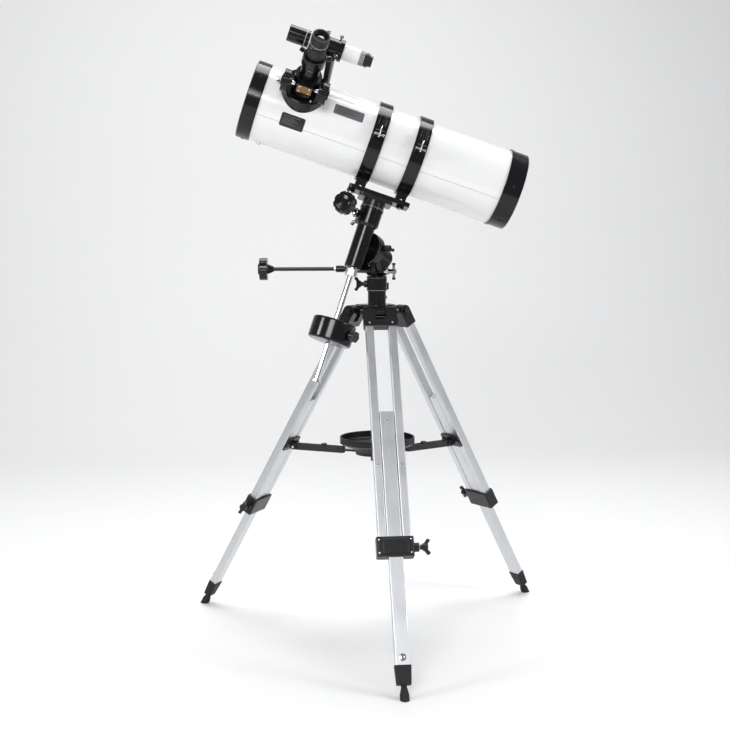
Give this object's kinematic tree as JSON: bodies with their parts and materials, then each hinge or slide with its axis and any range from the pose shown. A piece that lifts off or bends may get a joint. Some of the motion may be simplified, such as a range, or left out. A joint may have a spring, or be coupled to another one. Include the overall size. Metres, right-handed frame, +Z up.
{
  "type": "newtonian reflector telescope",
  "caption": "Newtonian reflector telescope with focuser and finder on a counterweighted equatorial mount and folding tripod.",
  "frame": {"origin": "on the floor, on the tripod's vertical axis", "axes": "+Z up, leg a towards -Y, the tube's open end towards -X"},
  "size_m": [0.8352, 0.7258, 1.364],
  "materials": {
    "aluminium_leg": "satin anodised",
    "black_plastic": "satin moulded",
    "black_steel": "satin enamel",
    "foot_rubber": "matte",
    "black_casting": "black satin enamel on a die casting",
    "chrome_steel": "polished",
    "chrome_lock": "polished",
    "gloss_iron": "gloss enamel",
    "white_tube": "gloss enamel",
    "white_finder": "satin",
    "mirror_glass": "polished",
    "spider_steel": "matte"
  },
  "bodies": {
    "tripod_head": {"tripod_head": "black_casting", "leg_hinge_bolts": "black_steel", "head_bolt": "black_plastic"},
    "leg_a": {"leg_a_rails": "aluminium_leg", "leg_a_fitting": "black_plastic", "leg_a_bracket": "black_steel", "leg_a_collar": "black_plastic"},
    "lower_leg_a": {"leg_a_inner": "aluminium_leg", "leg_a_foot": "foot_rubber"},
    "leg_a_lock": {"leg_a_lock": "black_plastic"},
    "spreader_arm_a": {"spreader_arm_a": "black_steel"},
    "leg_b": {"leg_b_rails": "aluminium_leg", "leg_b_fitting": "black_plastic", "leg_b_bracket": "black_steel", "leg_b_collar": "black_plastic"},
    "lower_leg_b": {"leg_b_inner": "aluminium_leg", "leg_b_foot": "foot_rubber"},
    "leg_b_lock": {"leg_b_lock": "black_plastic"},
    "spreader_arm_b": {"spreader_arm_b": "black_steel"},
    "leg_c": {"leg_c_rails": "aluminium_leg", "leg_c_fitting": "black_plastic", "leg_c_bracket": "black_steel", "leg_c_collar": "black_plastic"},
    "lower_leg_c": {"leg_c_inner": "aluminium_leg", "leg_c_foot": "foot_rubber"},
    "leg_c_lock": {"leg_c_lock": "black_plastic"},
    "spreader_arm_c": {"spreader_arm_c": "black_steel"},
    "spreader": {"spreader_hub": "black_plastic", "accessory_tray": "black_plastic"},
    "azimuth": {"mount_base": "black_casting"},
    "azimuth_lock": {"azimuth_lock": "black_plastic"},
    "latitude_bolt": {"latitude_bolt": "chrome_steel"},
    "polar_housing": {"polar_housing": "black_casting"},
    "ra_lock": {"ra_lock": "black_plastic"},
    "ra_slow_motion": {"ra_slow_motion": "black_plastic"},
    "declination_housing": {"dec_housing": "black_casting"},
    "dec_lock": {"dec_lock": "chrome_lock"},
    "dec_slow_motion": {"dec_slow_motion": "black_plastic"},
    "cradle": {"dec_shaft": "chrome_steel", "dec_saddle": "black_casting", "cradle_bar": "black_casting", "ring_lower_front": "black_casting", "ring_lower_rear": "black_casting"},
    "counterweight": {"counterweight": "gloss_iron"},
    "counterweight_lock": {"counterweight_lock": "black_plastic"},
    "ring_top_front": {"ring_top_front": "black_casting"},
    "ring_top_rear": {"ring_top_rear": "black_casting"},
    "optical_tube": {"optical_tube": "white_tube", "front_cap": "black_plastic", "rear_cap": "black_casting", "primary_mirror": "mirror_glass", "mirror_cell": "black_casting", "spider": "spider_steel", "secondary_mirror": "mirror_glass", "focuser_base": "black_casting", "finder_bracket": "black_casting", "finder_scope": "white_finder"},
    "drawtube": {"drawtube": "black_casting"},
    "eyepiece": {"eyepiece": "black_plastic"},
    "focus_knobs": {"focus_knobs": "black_plastic"}
  },
  "joints": [
    {"name": "leg_a_fold", "type": "hinge", "parent": "tripod_head", "child": "leg_a", "pos_m": [0, -0.054, 0.738], "axis": [1, 0, 0], "range_deg": [0, 13]},
    {"name": "leg_a_extend", "type": "slide", "parent": "leg_a", "child": "lower_leg_a", "axis": [0, -0.491, -0.8711], "range_m": [-0.195, 0.17]},
    {"name": "leg_a_lock_turn", "type": "hinge", "parent": "leg_a", "child": "leg_a_lock", "pos_m": [0.05, -0.31916, 0.26759], "axis": [1, 0, 0], "continuous": true},
    {"name": "spreader_arm_a_fold", "type": "hinge", "parent": "leg_a", "child": "spreader_arm_a", "pos_m": [0, -0.21249, 0.41202], "axis": [1, 0, 0], "range_deg": [0, 44.09]},
    {"name": "leg_b_fold", "type": "hinge", "parent": "tripod_head", "child": "leg_b", "pos_m": [0.04677, 0.027, 0.738], "axis": [-0.5, 0.866, 0], "range_deg": [0, 13]},
    {"name": "leg_b_extend", "type": "slide", "parent": "leg_b", "child": "lower_leg_b", "axis": [0.4253, 0.2455, -0.8711], "range_m": [-0.195, 0.17]},
    {"name": "leg_b_lock_turn", "type": "hinge", "parent": "leg_b", "child": "leg_b_lock", "pos_m": [0.2514, 0.20288, 0.26759], "axis": [-0.5, 0.866, 0], "continuous": true},
    {"name": "spreader_arm_b_fold", "type": "hinge", "parent": "leg_b", "child": "spreader_arm_b", "pos_m": [0.18403, 0.10625, 0.41202], "axis": [-0.5, 0.866, 0], "range_deg": [0, 44.09]},
    {"name": "leg_c_fold", "type": "hinge", "parent": "tripod_head", "child": "leg_c", "pos_m": [-0.04677, 0.027, 0.738], "axis": [-0.5, -0.866, 0], "range_deg": [0, 13]},
    {"name": "leg_c_extend", "type": "slide", "parent": "leg_c", "child": "lower_leg_c", "axis": [-0.4253, 0.2455, -0.8711], "range_m": [-0.195, 0.17]},
    {"name": "leg_c_lock_turn", "type": "hinge", "parent": "leg_c", "child": "leg_c_lock", "pos_m": [-0.3014, 0.11628, 0.26759], "axis": [-0.5, -0.866, 0], "continuous": true},
    {"name": "spreader_arm_c_fold", "type": "hinge", "parent": "leg_c", "child": "spreader_arm_c", "pos_m": [-0.18403, 0.10625, 0.41202], "axis": [-0.5, -0.866, 0], "range_deg": [0, 44.09]},
    {"name": "spreader_rise", "type": "slide", "parent": "tripod_head", "child": "spreader", "axis": [0, 0, 1], "range_m": [0, 0.11576]},
    {"name": "azimuth_turn", "type": "hinge", "parent": "tripod_head", "child": "azimuth", "pos_m": [0, 0, 0.783], "axis": [0, 0, 1], "range_deg": [-15, 3]},
    {"name": "azimuth_lock_turn", "type": "hinge", "parent": "azimuth", "child": "azimuth_lock", "pos_m": [-0.02953, 0.00526, 0.799], "axis": [-0.9845, 0.1754, 0], "continuous": true},
    {"name": "latitude_bolt_turn", "type": "hinge", "parent": "azimuth", "child": "latitude_bolt", "pos_m": [0, 0, 0.828], "axis": [0.7649, -0.6441, 0], "continuous": true},
    {"name": "latitude_tilt", "type": "hinge", "parent": "azimuth", "child": "polar_housing", "pos_m": [0, 0, 0.828], "axis": [-0.7649, 0.6441, 0], "range_deg": [0, 18]},
    {"name": "ra_lock_turn", "type": "hinge", "parent": "polar_housing", "child": "ra_lock", "pos_m": [0.01172, -0.04818, 0.87958], "axis": [0.7649, -0.6441, 0], "continuous": true},
    {"name": "ra_slow_motion_turn", "type": "hinge", "parent": "polar_housing", "child": "ra_slow_motion", "pos_m": [-0.05793, -0.01679, 0.83397], "axis": [-0.9947, 0.1031, 0], "continuous": true},
    {"name": "right_ascension", "type": "hinge", "parent": "polar_housing", "child": "declination_housing", "pos_m": [-0.04237, -0.05031, 0.88754], "axis": [-0.6053, -0.7188, 0.342], "range_deg": [-32, 3]},
    {"name": "dec_lock_turn", "type": "hinge", "parent": "declination_housing", "child": "dec_lock", "pos_m": [-0.04647, -0.02105, 0.94179], "axis": [-0.7257, 0.6749, 0.134], "continuous": true},
    {"name": "dec_slow_motion_turn", "type": "hinge", "parent": "declination_housing", "child": "dec_slow_motion", "pos_m": [-0.05675, -0.04778, 0.96526], "axis": [-0.4984, -0.8057, 0.32], "continuous": true},
    {"name": "declination", "type": "hinge", "parent": "declination_housing", "child": "cradle", "pos_m": [-0.04237, -0.05031, 0.88754], "axis": [0.3272, 0.1671, 0.9301], "continuous": true},
    {"name": "counterweight_slide", "type": "slide", "parent": "cradle", "child": "counterweight", "axis": [0.3272, 0.1671, 0.9301], "range_m": [-0.08, 0.015]},
    {"name": "counterweight_lock_turn", "type": "hinge", "parent": "counterweight", "child": "counterweight_lock", "pos_m": [-0.06839, -0.12054, 0.68998], "axis": [0.7403, -0.6571, -0.1423], "continuous": true},
    {"name": "ring_front_open", "type": "hinge", "parent": "cradle", "child": "ring_top_front", "pos_m": [-0.01042, 0.08471, 1.09826], "axis": [-0.9445, 0.0274, 0.3273], "range_deg": [0, 100]},
    {"name": "ring_rear_open", "type": "hinge", "parent": "cradle", "child": "ring_top_rear", "pos_m": [0.07931, 0.0821, 1.06717], "axis": [-0.9445, 0.0274, 0.3273], "range_deg": [0, 100]},
    {"name": "tube_rotation", "type": "hinge", "parent": "cradle", "child": "optical_tube", "pos_m": [0.03255, -0.01206, 1.10053], "axis": [0.9445, -0.0274, -0.3273], "range_deg": [-40, 40]},
    {"name": "focus_travel", "type": "slide", "parent": "optical_tube", "child": "drawtube", "axis": [0.1721, -0.8075, 0.5643], "range_m": [-0.022, 0.03]},
    {"name": "eyepiece_pull", "type": "slide", "parent": "drawtube", "child": "eyepiece", "axis": [0.1721, -0.8075, 0.5643], "range_m": [0, 0.04]},
    {"name": "focus_knob_turn", "type": "hinge", "parent": "optical_tube", "child": "focus_knobs", "pos_m": [-0.16611, -0.11942, 1.22368], "axis": [-0.9445, 0.0274, 0.3273], "range_deg": [-260, 320]}
  ],
  "couplings": [
    {"joint": "spreader_arm_a_fold", "follows": "leg_a_fold", "ratio": 3.384},
    {"joint": "leg_b_fold", "follows": "leg_a_fold", "ratio": 1},
    {"joint": "spreader_arm_b_fold", "follows": "leg_a_fold", "ratio": 3.384},
    {"joint": "leg_c_fold", "follows": "leg_a_fold", "ratio": 1},
    {"joint": "spreader_arm_c_fold", "follows": "leg_a_fold", "ratio": 3.384},
    {"joint": "spreader_rise", "follows": "leg_a_fold", "m_per_rad": 0.508},
    {"joint": "focus_knob_turn", "follows": "focus_travel", "rad_per_m": 166.67}
  ]
}
